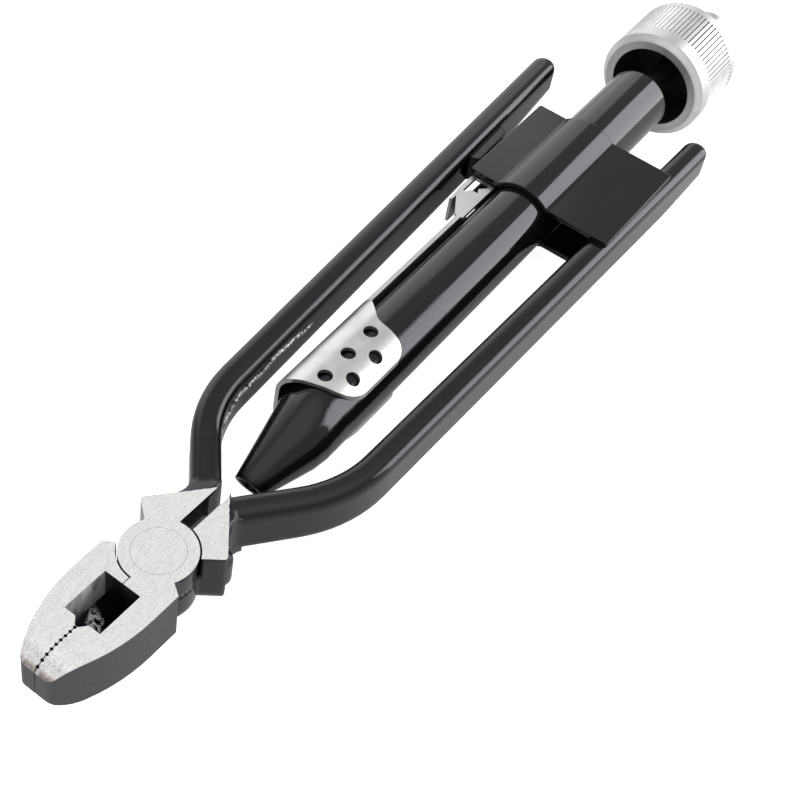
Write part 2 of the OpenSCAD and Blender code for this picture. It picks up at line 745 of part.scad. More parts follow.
// Bracket plate with rounded wing corners, from x to the bracket's rear edge
module bracket_plate(x) {
    back_x = bracket_x + bracket_l;
    intersection() {
        along_x(x) {
            linear_extrude(back_x - x) bracket_section();
            linear_extrude(back_x - x) bracket_fillet();
        }
        linear_extrude(head_t + 2 * arch_out) polygon(rounded([
            [x, -weld_wing_y, wing_corner_r], [back_x, -weld_wing_y, wing_corner_r],
            [back_x, free_wing_y, wing_corner_r], [x, free_wing_y, wing_corner_r]]));
    }
}

module bracket_top() {
    color(black_paint) {
        bracket_plate(bracket_x);
        translate([spring_stop_x, latch_spring_y - tab_half_w, mid_z + tab_low])
            cube([bracket_t, 2 * tab_half_w, wing_in + bracket_t / 2 - tab_low]);
    }
}

module bracket_bottom() {
    color(black_paint) translate([0, 0, mid_z]) mirror([0, 0, 1]) translate([0, 0, -mid_z])
        bracket_plate(bracket_x + lower_setback);
}

// Latch

// Outline round the barrel: a half circle on one side and a wide bend on the other
module wrap_outline(r, corner_r) {
    circle(r, $fn = 128);
    for (side = [-1, 1]) {
        translate([0, side > 0 ? 0 : -r]) square([r - corner_r, r]);
        translate([r - corner_r, side * (r - corner_r)]) circle(corner_r);
    }
    translate([0, -r + corner_r]) square([r, 2 * (r - corner_r)]);
}

// Section of the latch's sheet round the barrel
module wrap_section() {
    difference() {
        wrap_outline(latch_out, pad_bend_r + latch_t);
        wrap_outline(latch_in, pad_bend_r);
    }
}

// Plan of a thumb pad, narrower along its free edge
module pad_plan() {
    front_y = 5;
    front_round = 1.5;
    toe_run = 3.6;
    toe_round = 6;
    heel_run = 2.4;
    heel_round = 3;
    hollow = [0.9, 1.5];
    hollow_round = 4;
    rear_y = 6;
    rear_round = 1.5;
    heel_x = pad_end_x - pad_rear_l + heel_run;
    polygon(rounded([
        [pad_x, latch_out + over, 0], [pad_x, front_y, front_round], [pad_x + toe_run, -pad_free_y, toe_round],
        [heel_x, -pad_free_y, heel_round], [heel_x + hollow.x, hollow.y, hollow_round],
        [pad_end_x, rear_y, rear_round], [pad_end_x, latch_out + over, 0]]));
}

// Round holes of both thumb pads: three beside the bend and two between them
module pad_holes() {
    row_y = 0.7;
    second_tilt = 24;
    stagger = 0.45;
    first_x = pad_x + pad_front_l;
    for (i = [0:2]) translate([first_x + i * pad_hole_pitch, row_y, mid_z - 2 * latch_out])
        cylinder(h = 4 * latch_out, r = pad_hole_r);
    for (i = [0:1], side = [0, 1]) translate([first_x + (i + stagger) * pad_hole_pitch, 0, mid_z])
        mirror([0, 0, side]) rotate([second_tilt, 0, 0]) cylinder(h = 2 * latch_out, r = pad_hole_r);
}

// Plan of the hook plate at the rear of the latch, with a toothed throat
module hook_plan() {
    root_l = 4;
    crest = 2.2;
    margin = 1;
    throat_l = 5;
    tooth = 1.2;
    start = [strip_end_x + root_l - margin, hook_in_y + margin];
    stop = [start.x + throat_l, hook_y - margin];
    difference() {
        polygon(rounded([[strip_end_x - root_l, hook_in_y, 0], [hook_end_x, hook_in_y, 0],
                         [hook_end_x, hook_y, margin], [strip_end_x + crest, hook_y, 2 * margin],
                         [strip_end_x - root_l, latch_out, 0]]));
        polygon([[start.x, stop.y], stop, [stop.x, start.y], [stop.x - tooth, start.y],
                 [start.x + 2 * tooth, start.y + tooth], [start.x + tooth, start.y + tooth / 2],
                 [start.x + tooth, stop.y - tooth], [start.x, stop.y - tooth / 2]]);
    }
}

module latch_slide() {
    lip_inset = 0.2;
    lip_y = finger_y + finger_w + lip_gap;
    color(zinc) {
        difference() {
            intersection() {
                along_x(pad_x) linear_extrude(pad_l) wrap_section();
                translate([0, 0, mid_z - 2 * latch_out]) linear_extrude(4 * latch_out) pad_plan();
            }
            pad_holes();
        }
        intersection() {
            along_x(pad_end_x - over) linear_extrude(strip_end_x - pad_end_x + over) wrap_section();
            translate([pad_end_x - 2 * over, 0, mid_z - strip_half_h])
                cube([strip_end_x - pad_end_x + 3 * over, 2 * latch_out, strip_half_h + hook_top]);
        }
        translate([0, 0, mid_z + hook_low]) linear_extrude(latch_t) hook_plan();
        translate([lip_x, lip_y, mid_z - finger_half_h])
            cube([lip_l, hook_y - lip_y - lip_inset, finger_half_h + hook_top]);
        translate([hook_end_x - latch_t, latch_spring_y - tab_half_w, mid_z + tab_low])
            cube([latch_t, 2 * tab_half_w, hook_top - tab_low]);
    }
}

module latch_spring() {
    seat = latch_spring_wire / 2 + latch_spring_gap;
    color(spring_steel) coil(hook_end_x + seat, spring_stop_x - seat, latch_spring_y, mid_z + latch_spring_z,
        latch_spring_r - latch_spring_wire / 2, latch_spring_wire / 2, latch_spring_turns, 10, 5);
}

// Spindle

// Square of the rod with its edges chamfered, grown by a clearance
module rod_section(grow = 0) {
    h = rod_w / 2 + grow;
    c = h - rod_chamfer;
    polygon([[h, -c], [h, c], [c, h], [-c, h], [-h, c], [-h, -c], [-c, -h], [c, -h]]);
}

// Twisted bar from x0 to x1, in step with every other bar of the same lead
module twisted(x0, x1, grow = 0) {
    turn = 360 * (x1 - x0) / rod_lead;
    along_x(x0) rotate(360 * x0 / rod_lead)
        linear_extrude(x1 - x0, twist = -turn, slices = ceil(twist_steps_per_turn * turn / 360), $fn = 8)
            rod_section(grow);
}

module spiral_rod() {
    color(blackened) {
        disc(rod_front_x, rod_square_x - rod_front_x + over, front_stud_r);
        twisted(rod_square_x, rod_shoulder_x);
        disc(rod_shoulder_x - over, rear_stud_end_x - rod_shoulder_x + over, rear_stud_r);
    }
}

module twist_nut() {
    color(brass) difference() {
        disc(nut_x, nut_t, bore_r - press_fit);
        twisted(nut_x - over, nut_end_x + over, nut_gap);
    }
}

module nut_retaining_ring() {
    color(spring_steel) difference() {
        disc(nut_end_x + 2 * press_fit, clip_t, bore_r + ring_groove - press_fit);
        disc(nut_end_x - over, clip_t + 2 * over, bore_r - ring_inner);
    }
}

module spring_seat_washer() {
    hole_r = rod_w / 2 * sqrt(2);
    color(spring_steel) difference() {
        disc(washer_x, clip_t, bore_r - press_fit);
        disc(washer_x - over, clip_t + 2 * over, hole_r);
    }
}

module return_spring() {
    color(spring_steel) coil(spring_front_x, spring_back_x, 0, mid_z, spring_r, spring_wire_d / 2,
        spring_turns, 12, 5);
}

module spring_follower() {
    color(brass) difference() {
        disc(follower_x, follower_t, bore_r - follower_fit);
        disc(follower_x - over, follower_t + 2 * over, front_stud_r + follower_fit);
    }
}

module follower_clip() {
    clip_r = 2 * front_stud_r;
    mouth = 1.5 * front_stud_r;
    color(spring_steel) difference() {
        disc(clip_x, clip_t, clip_r);
        disc(clip_x - over, clip_t + 2 * over, front_stud_r + press_fit);
        translate([clip_x - over, -mouth / 2, mid_z - clip_r - over])
            cube([clip_t + 2 * over, mouth, clip_r + over]);
    }
}

// Knob

// Outline of the smooth parts of the knob in x and radius
module knob_outline() {
    root_r = knob_r - knurl_depth;
    difference() {
        union() {
            polygon([[knob_x, 0], [knob_x, knob_r - knob_rim], [knob_x + knob_rim, knob_r],
                     [knob_x + knurl_front, knob_r], [knob_x + knurl_front, root_r],
                     [knob_end_x - knurl_back, root_r], [knob_end_x - knurl_back, knob_r],
                     [knob_end_x - knob_back_r, knob_r], [knob_end_x - knob_back_r, 0]]);
            translate([knob_end_x - knob_back_r, 0]) square([knob_back_r, knob_r - knob_back_r]);
            translate([knob_end_x - knob_back_r, knob_r - knob_back_r]) circle(knob_back_r);
        }
        translate([knob_x - over, 0]) square([knob_bore_l + over, knob_bore_r]);
        square([knob_end_x + over, rear_stud_r + press_fit]);
    }
}

// Star of the knurl: flat ridges with a groove between them
module knurl_star() {
    step = 360 / knurl_count;
    land = 0.62;
    top = knob_r - lap;
    root = knob_r - knurl_depth + lap;
    polygon([for (i = [0:knurl_count - 1])
        each [top * [cos(i * step), sin(i * step)], top * [cos((i + land) * step), sin((i + land) * step)],
              root * [cos((i + (1 + land) / 2) * step), sin((i + (1 + land) / 2) * step)]]]);
}

module knob() {
    color(alloy) {
        turned() knob_outline();
        along_x(knob_x + knurl_front - bar_over) linear_extrude(knob_l - knurl_front - knurl_back + 2 * bar_over)
            difference() {
                knurl_star();
                circle(knob_r - 2 * knurl_depth);
            }
    }
}

module rod_end_cap() {
    dome_r = 1.5;
    start_x = knob_end_x + press_fit;
    color(alloy) turned() difference() {
        union() {
            translate([start_x, 0]) square([cap_l - dome_r, cap_r]);
            translate([start_x, 0]) square([cap_l, cap_r - dome_r]);
            translate([start_x + cap_l - dome_r, cap_r - dome_r]) circle(dome_r);
        }
        square([rear_stud_end_x + press_fit, rear_stud_r + press_fit]);
        translate([start_x - cap_r, -cap_r]) square([cap_l + 2 * cap_r, cap_r]);
    }
}

swing_lever();
fixed_lever();
pivot_rivet();
barrel();
nose_bush();
bracket_top();
bracket_bottom();
catch_finger();
latch_slide();
latch_spring();
twist_nut();
nut_retaining_ring();
spring_seat_washer();
return_spring();
spring_follower();
follower_clip();
spiral_rod();
knob();
rod_end_cap();
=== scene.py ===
"""Looks of the safety wire pliers: paint, ground steel, plated sheet and turned alloy."""
import math

import bpy
from mathutils import Matrix, Vector, noise


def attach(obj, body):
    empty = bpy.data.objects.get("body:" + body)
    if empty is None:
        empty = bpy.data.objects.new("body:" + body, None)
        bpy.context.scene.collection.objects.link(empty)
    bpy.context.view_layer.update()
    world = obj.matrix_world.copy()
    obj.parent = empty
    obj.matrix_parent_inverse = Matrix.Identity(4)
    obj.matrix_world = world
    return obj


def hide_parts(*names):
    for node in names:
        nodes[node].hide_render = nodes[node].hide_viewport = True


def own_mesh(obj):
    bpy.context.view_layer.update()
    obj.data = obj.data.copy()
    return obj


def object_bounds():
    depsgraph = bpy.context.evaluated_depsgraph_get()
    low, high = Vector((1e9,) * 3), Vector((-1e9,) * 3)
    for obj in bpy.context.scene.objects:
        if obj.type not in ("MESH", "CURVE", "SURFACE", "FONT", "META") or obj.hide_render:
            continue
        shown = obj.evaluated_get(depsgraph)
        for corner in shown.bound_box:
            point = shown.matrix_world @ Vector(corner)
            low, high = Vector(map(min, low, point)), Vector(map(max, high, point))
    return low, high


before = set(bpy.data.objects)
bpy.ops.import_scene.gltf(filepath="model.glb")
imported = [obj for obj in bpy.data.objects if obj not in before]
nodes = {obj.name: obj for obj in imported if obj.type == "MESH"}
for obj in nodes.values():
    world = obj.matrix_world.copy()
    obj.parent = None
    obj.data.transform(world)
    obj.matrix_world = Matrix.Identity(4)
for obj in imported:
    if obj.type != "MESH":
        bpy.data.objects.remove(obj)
cad_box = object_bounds()
MM = 0.001

# Places on the part, in metres
MID_Z = 5.25 * MM
HEAD_TURN = math.radians(-1.8)
KNOB_X = 170.0 * MM
KNOB_R = 12.4 * MM
KNOB_BORE_R = 9.3 * MM
# Length of the knob's bore, and the ends of its knurl behind the front face
KNOB_BORE_L = 13.3 * MM
KNURL = (4.6 * MM, 15.2 * MM)
# Window over the cutters: front end, back end and half its width
WINDOW_FRONT = -19.0 * MM
WINDOW_BACK = -8.2 * MM
WINDOW_HALF = 3.85 * MM
# Width over which one finish gives way to the next
SOFT = 0.1 * MM


def turned_head(x, y):
    """A point of the head, in metres, from millimetres before the head was turned against the barrel."""
    c, d = math.cos(HEAD_TURN), math.sin(HEAD_TURN)
    return (c * x - d * y) * MM, (d * x + c * y) * MM


# Ends of the line where the ground face stops, for the lever whose handle is on the +Y side and the other
GROUND_LINE = {1: (turned_head(6.0, 9.4), turned_head(16.0, 1.3)),
               -1: (turned_head(6.0, -9.4), turned_head(16.0, -1.3))}


# Shader helpers

class Nodes:
    """A node tree, emptied, whose nodes are added one by one and linked by value."""

    def __init__(self, tree):
        self.tree = tree
        self.tree.nodes.clear()
        self.coord = self.tree.nodes.new("ShaderNodeTexCoord")
        self.place = self.coord.outputs["Object"]
        self.normal = self.coord.outputs["Normal"]
        self._split = {}

    def put(self, socket, value):
        """Sets a socket to a number or colour, or links an output to it."""
        if isinstance(value, bpy.types.NodeSocket):
            self.tree.links.new(value, socket)
        elif value is not None:
            socket.default_value = value

    def math(self, op, a, b=None, c=None):
        node = self.tree.nodes.new("ShaderNodeMath")
        node.operation = op
        for socket, value in zip(node.inputs, (a, b, c)):
            self.put(socket, value)
        return node.outputs[0]

    def xyz(self, vector):
        """The three parts of a vector, split once."""
        key = vector.as_pointer()
        if key not in self._split:
            node = self.tree.nodes.new("ShaderNodeSeparateXYZ")
            self.put(node.inputs[0], vector)
            self._split[key] = tuple(node.outputs)
        return self._split[key]

    def join(self, x, y, z):
        node = self.tree.nodes.new("ShaderNodeCombineXYZ")
        for socket, value in zip(node.inputs, (x, y, z)):
            self.put(socket, value)
        return node.outputs[0]

    def ramp(self, value, low, high, to_low=0.0, to_high=1.0):
        """A smooth step from low to high."""
        node = self.tree.nodes.new("ShaderNodeMapRange")
        node.interpolation_type = "SMOOTHSTEP"
        for socket, number in zip(node.inputs, (value, low, high, to_low, to_high)):
            self.put(socket, number)
        return node.outputs[0]

    def noise(self, size, stretch=(1, 1, 1), detail=3.0, roughness=0.55, vector=None):
        """Noise from 0 to 1 whose lumps are about that size in metres."""
        scale = self.tree.nodes.new("ShaderNodeMapping")
        scale.inputs["Scale"].default_value = [s / size for s in stretch]
        self.put(scale.inputs["Vector"], vector or self.place)
        node = self.tree.nodes.new("ShaderNodeTexNoise")
        self.put(node.inputs["Vector"], scale.outputs[0])
        node.inputs["Scale"].default_value = 1.0
        node.inputs["Detail"].default_value = detail
        node.inputs["Roughness"].default_value = roughness
        return node.outputs[0]

    def mix(self, factor, a, b):
        """Mixes two colours."""
        node = self.tree.nodes.new("ShaderNodeMix")
        node.data_type = "RGBA"
        self.put(node.inputs[0], factor)
        self.put(node.inputs[6], a)
        self.put(node.inputs[7], b)
        return node.outputs[2]

    def blend(self, factor, a, b):
        """Mixes two numbers."""
        node = self.tree.nodes.new("ShaderNodeMix")
        node.data_type = "FLOAT"
        self.put(node.inputs[0], factor)
        self.put(node.inputs[2], a)
        self.put(node.inputs[3], b)
        return node.outputs[0]

    def eased(self, radius):
        """The surface's normal with edges of that radius rounded off."""
        node = self.tree.nodes.new("ShaderNodeBevel")
        node.samples = 8
        self.put(node.inputs["Radius"], radius)
        return node.outputs[0]

    def bump(self, height, distance, strength=1.0, normal=None):
        node = self.tree.nodes.new("ShaderNodeBump")
        node.inputs["Strength"].default_value = strength
        node.inputs["Distance"].default_value = distance
        self.put(node.inputs["Height"], height)
        self.put(node.inputs["Normal"], normal)
        return node.outputs[0]

    def product(self, *factors):
        """All the factors multiplied together."""
        total = factors[0]
        for factor in factors[1:]:
            total = self.math("MULTIPLY", total, factor)
        return total

    def choose(self, factor, a, b):
        """Mixes two vectors."""
        node = self.tree.nodes.new("ShaderNodeMix")
        node.data_type = "VECTOR"
        self.put(node.inputs[0], factor)
        self.put(node.inputs[4], a)
        self.put(node.inputs[5], b)
        return node.outputs[1]


class Shader(Nodes):
    """A material with one surface shader."""

    def __init__(self, name):
        self.mat = bpy.data.materials.new(name)
        self.mat.use_nodes = True
        super().__init__(self.mat.node_tree)
        out = self.tree.nodes.new("ShaderNodeOutputMaterial")
        self.bsdf = self.tree.nodes.new("ShaderNodeBsdfPrincipled")
        self.put(out.inputs["Surface"], self.bsdf.outputs[0])

    def set(self, **values):
        """Sets inputs of the surface shader, with underscores for spaces."""
        for key, value in values.items():
            self.put(self.bsdf.inputs[key.replace("_", " ")], value)


def grey(level, warm=0.0):
    """A grey with a little warmth, as an opaque colour."""
    return (level * (1 + warm), level, level * (1 - 2 * warm), 1.0)


# Materials

PAINT = (0.0036, 0.0034, 0.0042, 1.0)
PAINT_THIN = (0.0062, 0.0058, 0.0070, 1.0)
PAINT_SHEEN = (0.94, 0.91, 1.0, 1.0)
# Radii that the paint gives to edges: of sheet, of the forged levers and of the barrel's nose
EDGE = 0.35 * MM
LEVER_EDGE = 1.4 * MM
NOSE_EDGE = 2.5 * MM
# Place where the nose's radius starts to give way to that of sheet, and the length it takes
NOSE_END_X = 78.0 * MM
NOSE_FADE = 3.0 * MM
# Sizes of the paint's unevenness: pools, orange peel and specks of dust
POOL = 9.0 * MM
PEEL = 0.9 * MM
DUST = 0.35 * MM
# Bare metal where the paint is scuffed, and the size of the scuffs
SCUFFED = grey(0.55)
SCUFF = 0.6 * MM


def paint_layers(s, edge):
    """Colour, roughness and normal of gloss black paint that rounds off edges of that radius."""
    pools = s.noise(POOL, stretch=(0.5, 1, 1), detail=2)
    peel = s.noise(PEEL, detail=2)
    specks = s.ramp(s.noise(DUST, detail=1), 0.74, 0.82)
    colour = s.mix(pools, PAINT, PAINT_THIN)
    rough = s.math("MULTIPLY_ADD", specks, 0.10, s.ramp(pools, 0.3, 0.7, 0.055, 0.09))
    wave = s.bump(pools, 0.05 * MM, 0.5, s.eased(edge))
    skin = s.bump(peel, 0.005 * MM, 0.5, wave)
    return colour, rough, s.bump(specks, 0.006 * MM, 0.5, skin)


def paint_material(name, edge, front_edge=None):
    """Gloss black paint; front_edge, where given, is the radius of edges on the barrel's nose."""
    s = Shader(name)
    if front_edge:
        edge = s.ramp(s.xyz(s.place)[0], NOSE_END_X, NOSE_END_X + NOSE_FADE, front_edge, edge)
    colour, rough, normal = paint_layers(s, edge)
    s.set(Base_Color=colour, Roughness=rough, Normal=normal, Metallic=0.0, Specular_Tint=PAINT_SHEEN)
    return s.mat


def flash_material(name):
    """Paint scuffed to the metal in patches, for a ragged bead."""
    s = Shader(name)
    colour, rough, normal = paint_layers(s, EDGE)
    scuff = s.ramp(s.noise(SCUFF, detail=3, roughness=0.7), 0.36, 0.52)
    s.set(Base_Color=s.mix(scuff, colour, SCUFFED), Roughness=s.blend(scuff, rough, 0.3), Normal=normal,
          Metallic=s.math("MULTIPLY", scuff, 0.8), Specular_Tint=PAINT_SHEEN)
    return s.mat


# Ground steel: its colours, the sizes of its speckle and belt marks, and how much the marks count
STEEL_DARK = grey(0.66, 0.014)
STEEL_LIGHT = grey(0.94, 0.008)
GRAIN = 0.22 * MM
STREAK = 0.18 * MM
STREAK_SHARE = 0.3


def steel_layers(s):
    """Colour, roughness and bump of a face ground on a belt, with a fine speckle."""
    grain = s.noise(GRAIN, detail=2, roughness=0.75)
    streak = s.noise(STREAK, stretch=(0.09, 1, 1), detail=2)
    cloud = s.noise(6 * MM, detail=2)
    shade = s.blend(STREAK_SHARE, grain, streak)
    colour = s.mix(s.ramp(shade, 0.36, 0.60), STEEL_DARK, STEEL_LIGHT)
    rough = s.math("MULTIPLY_ADD", cloud, 0.05, s.ramp(shade, 0.3, 0.7, 0.42, 0.32))
    normal = s.bump(streak, 0.004 * MM, 0.3, s.bump(grain, 0.007 * MM, 0.4))
    return colour, rough, normal


def steel_material(name):
    """Ground steel all over."""
    s = Shader(name)
    colour, rough, normal = steel_layers(s)
    s.set(Base_Color=colour, Roughness=rough, Normal=normal, Metallic=1.0)
    return s.mat


# Places of the finishes on the levers; each pair says where one starts and where it is full
FACE_UPRIGHT = (0.66, 0.70)
JAW_X = (-2.0 * MM, -3.0 * MM)
SCALE_DARK = grey(0.033)
SCALE_LIGHT = grey(0.046, 0.01)
# Ragged end of the ground face: size of its lumps and how far they reach
RAGGED = 0.7 * MM
RAGGED_REACH = 0.5 * MM
# Slopes of the cutters: foot, top and how upright their normals are
SLOPE_FOOT = 0.3 * MM
SLOPE_TOP = 6.1 * MM
SLOPE_UPRIGHT = (0.72, 0.78)
# Wall of the window that gets a painted highlight, as it faces the lamp: its normal along Y, and its place
# across the head
LIT_FACING = (-0.86, -0.95)
LIT_ACROSS = (1.0 * MM, 2.0 * MM)
# Painted highlight on that wall, in lighter and darker bands
LIT_DARK = grey(0.26)
LIT_LIGHT = grey(0.66)
# Painted shade that fills the window over the cutters
WINDOW_SHADE = grey(0.004)
# Painted highlight on one cutter's slope: ends along X, then its left and right limits, which slant
GLINT_FRONT = (-18.4 * MM, -17.8 * MM)
GLINT_BACK = (-10.6 * MM, -12.2 * MM)
GLINT_LEFT = (1.35 * MM, 0.8 * MM)
GLINT_LEFT_SLANT = 0.42
GLINT_LEFT_START = 7.35 * MM
GLINT_RIGHT = (-13.9 * MM, -14.7 * MM)
GLINT_RIGHT_SLANT = -2.76
# Colour of that painted highlight
GLINT_COLOUR = grey(0.97)
# Bevel of the nose: along X, down from the face and up from its foot, and the heat tint at its thin end
BEVEL_X = (-22.0 * MM, -24.5 * MM)
BEVEL_TOP = (10.46 * MM, 10.1 * MM)
BEVEL_FOOT = (6.0 * MM, 7.0 * MM)
TINT_Z = (9.45 * MM, 8.5 * MM)
HEAT_TINT = (0.19, 0.145, 0.135, 1.0)


def lever_material(name, side):
    """Ground steel on the faces of the head, dark scale on the jaw's sides, black paint on the rest,
    painted shade inside the window over the cutters, and painted highlights on one of its walls and on one
    cutter's slope.

    side is 1 for the lever whose handle is on the +Y side, and -1 for the other.
    """
    s = Shader(name)
    x, y, z = s.xyz(s.place)
    upright = s.math("ABSOLUTE", s.xyz(s.normal)[2])
    ear, face_end = GROUND_LINE[side]
    dx, dy = face_end[0] - ear[0], face_end[1] - ear[1]
    length = side * math.hypot(dx, dy)
    away = s.math("ADD", s.math("MULTIPLY", s.math("SUBTRACT", x, ear[0]), -dy / length),
                  s.math("MULTIPLY", s.math("SUBTRACT", y, ear[1]), dx / length))
    ragged = s.math("MULTIPLY", s.math("SUBTRACT", s.noise(RAGGED, detail=2), 0.5), RAGGED_REACH)
    head = s.ramp(s.math("ADD", away, ragged), SOFT / 2, -SOFT / 2)
    pit = s.product(s.ramp(x, WINDOW_FRONT - 2 * SOFT, WINDOW_FRONT),
                    s.ramp(z, SLOPE_FOOT, SLOPE_FOOT + SOFT), s.ramp(z, SLOPE_TOP, SLOPE_TOP - SOFT))
    face = s.product(s.ramp(upright, *FACE_UPRIGHT), head, s.math("SUBTRACT", 1.0, pit))
    jaw = s.math("MULTIPLY", s.ramp(x, *JAW_X), head)

    # inside of the window, painted black as shade, but for the wall with a painted highlight
    across = s.math("ADD", y, s.math("MULTIPLY", x, -math.tan(HEAD_TURN)))
    window = s.product(s.ramp(x, WINDOW_FRONT, WINDOW_FRONT + SOFT),
                       s.ramp(x, WINDOW_BACK, WINDOW_BACK - SOFT),
                       s.ramp(s.math("ABSOLUTE", across), WINDOW_HALF + SOFT, WINDOW_HALF))
    bands = s.ramp(s.noise(2.6 * MM, stretch=(1, 1, 0.35), detail=2), 0.35, 0.62)
    lit = s.product(window, s.ramp(s.xyz(s.normal)[1], *LIT_FACING), s.ramp(across, *LIT_ACROSS))

    # painted highlight on one cutter's slope
    patch = s.ramp(s.noise(0.7 * MM, stretch=(1, 0.7, 0.7), detail=4, roughness=0.72), 0.46, 0.51)
    to_left = s.math("SUBTRACT", across, s.math("MULTIPLY_ADD", x, GLINT_LEFT_SLANT, GLINT_LEFT_START))
    to_right = s.math("MULTIPLY_ADD", across, GLINT_RIGHT_SLANT, x)
    glint = s.product(pit, s.ramp(upright, *SLOPE_UPRIGHT), s.ramp(x, *GLINT_FRONT),
                       s.ramp(x, *GLINT_BACK), s.ramp(to_right, *GLINT_RIGHT),
                       s.ramp(to_left, *GLINT_LEFT), patch)

    steel, steel_rough, steel_normal = steel_layers(s)
    paint, paint_rough, paint_normal = paint_layers(s, LEVER_EDGE)
    scale = s.noise(0.5 * MM, detail=3)
    scale_colour = s.mix(s.ramp(scale, 0.35, 0.65), SCALE_DARK, SCALE_LIGHT)
    scale_normal = s.bump(scale, 0.012 * MM, 0.4)

    # bevel of the nose, dressed by hand, with a heat tint where it is thin
    bevel = s.product(s.ramp(x, *BEVEL_X), s.ramp(z, *BEVEL_TOP), s.ramp(z, *BEVEL_FOOT))
    dents = s.noise(1.1 * MM, stretch=(0.6, 1.4, 1), detail=3, roughness=0.6)
    steel_normal = s.bump(s.math("MULTIPLY", dents, bevel), 0.16 * MM, 0.6, steel_normal)
    steel_rough = s.blend(bevel, steel_rough, 0.27)
    tint = s.product(bevel, s.ramp(z, *TINT_Z), s.ramp(dents, 0.3, 0.55, 0.5, 0.95))
    steel = s.mix(tint, steel, HEAT_TINT)

    colour = s.mix(jaw, paint, scale_colour)
    # painted shade in the window, then painted highlights on its wall and on one slope
    colour = s.mix(window, colour, WINDOW_SHADE)
    colour = s.mix(lit, colour, s.mix(bands, LIT_DARK, LIT_LIGHT))
    colour = s.mix(glint, colour, GLINT_COLOUR)
    rough = s.blend(window, s.blend(jaw, paint_rough, 0.42), 0.24)
    normal = s.choose(face, s.choose(jaw, paint_normal, scale_normal), steel_normal)
    s.set(Base_Color=s.mix(face, colour, steel), Roughness=s.blend(face, rough, steel_rough),
          Metallic=face, Normal=normal, Specular_Tint=PAINT_SHEEN)
    return s.mat


def plate_material(name):
    """Bright plating on rolled sheet."""
    s = Shader(name)
    roll = s.noise(0.22 * MM, stretch=(0.05, 1, 1), detail=2)
    cloud = s.noise(5 * MM, detail=3)
    colour = s.mix(s.ramp(cloud, 0.3, 0.7), grey(0.56, 0.004), grey(0.66, 0.004))
    rough = s.math("MULTIPLY_ADD", cloud, 0.08, s.ramp(roll, 0.3, 0.7, 0.34, 0.26))
    s.set(Base_Color=colour, Roughness=rough, Metallic=1.0, Normal=s.bump(roll, 0.006 * MM, 0.35))
    return s.mat


# Turned metal: distance between its rings, colours of the knob's alloy, and painted shade for the knurl's
# grooves and the bore
RING_PITCH = 0.12 * MM
KNOB_DARK = grey(0.56)
KNOB_LIGHT = grey(0.72)
GROOVE_SHADE = grey(0.16)
BORE_SHADE = grey(0.012)


def turned_layers(s, colour_low, colour_high, rough_low, rough_high):
    """Colour, roughness, bump and radius of metal turned about the barrel's axis, with fine rings."""
    x, y, z = s.xyz(s.place)
    rise = s.math("SUBTRACT", z, MID_Z)
    radius = s.math("SQRT", s.math("ADD", s.math("MULTIPLY", y, y), s.math("MULTIPLY", rise, rise)))
    rings = s.noise(RING_PITCH, vector=s.join(x, radius, 0.0), detail=2)
    cloud = s.noise(4 * MM, detail=3)
    shade = s.blend(0.4, rings, cloud)
    colour = s.mix(s.ramp(shade, 0.35, 0.65), colour_low, colour_high)
    rough = s.math("MULTIPLY_ADD", cloud, 0.05, s.ramp(rings, 0.3, 0.7, rough_high, rough_low))
    return colour, rough, s.bump(rings, 0.006 * MM, 0.4), radius


def turned_material(name, colour_low, colour_high, rough_low, rough_high):
    """Turned metal all over."""
    s = Shader(name)
    colour, rough, normal, _ = turned_layers(s, colour_low, colour_high, rough_low, rough_high)
    s.set(Base_Color=colour, Roughness=rough, Metallic=1.0, Normal=normal)
    return s.mat


def knob_material(name):
    """Satin turned alloy with painted shade in the knurl's grooves and in the bore."""
    s = Shader(name)
    colour, rough, normal, radius = turned_layers(s, KNOB_DARK, KNOB_LIGHT, 0.36, 0.50)
    behind = s.math("SUBTRACT", s.xyz(s.place)[0], KNOB_X)
    bore = s.product(s.ramp(radius, KNOB_BORE_R + 0.04 * MM, KNOB_BORE_R + 0.01 * MM),
                     s.ramp(behind, 0.10 * MM, 0.16 * MM),
                     s.ramp(behind, KNOB_BORE_L + SOFT, KNOB_BORE_L))
    groove = s.product(s.ramp(radius, KNOB_R - 0.05 * MM, KNOB_R - 0.2 * MM),
                       s.ramp(radius, KNOB_R - 1.0 * MM, KNOB_R - 0.9 * MM),
                       s.ramp(behind, KNURL[0] - SOFT, KNURL[0]),
                       s.ramp(behind, KNURL[1] + SOFT, KNURL[1]))
    # painted shade in the knurl's grooves
    colour = s.mix(s.math("MULTIPLY", groove, 0.85), colour, GROOVE_SHADE)
    # painted shade in the bore
    s.set(Base_Color=s.mix(bore, colour, BORE_SHADE), Roughness=s.blend(bore, rough, 0.5), Normal=normal,
          Metallic=s.math("SUBTRACT", 1.0, bore))
    return s.mat


def oxide_material(name):
    """Blackened steel with a satin surface."""
    s = Shader(name)
    cloud = s.noise(1.2 * MM, detail=4)
    colour = s.mix(s.ramp(cloud, 0.35, 0.65), grey(0.016), grey(0.032))
    s.set(Base_Color=colour, Roughness=s.ramp(cloud, 0.3, 0.7, 0.42, 0.3), Metallic=0.6,
          Normal=s.bump(cloud, 0.010 * MM, 0.4))
    return s.mat


def wire_material(name):
    """Drawn spring wire with faint marks."""
    s = Shader(name)
    marks = s.noise(0.25 * MM, detail=3)
    colour = s.mix(s.ramp(marks, 0.35, 0.65), grey(0.42), grey(0.60, 0.004))
    s.set(Base_Color=colour, Roughness=s.ramp(marks, 0.3, 0.7, 0.34, 0.24), Metallic=1.0,
          Normal=s.bump(marks, 0.005 * MM, 0.4))
    return s.mat


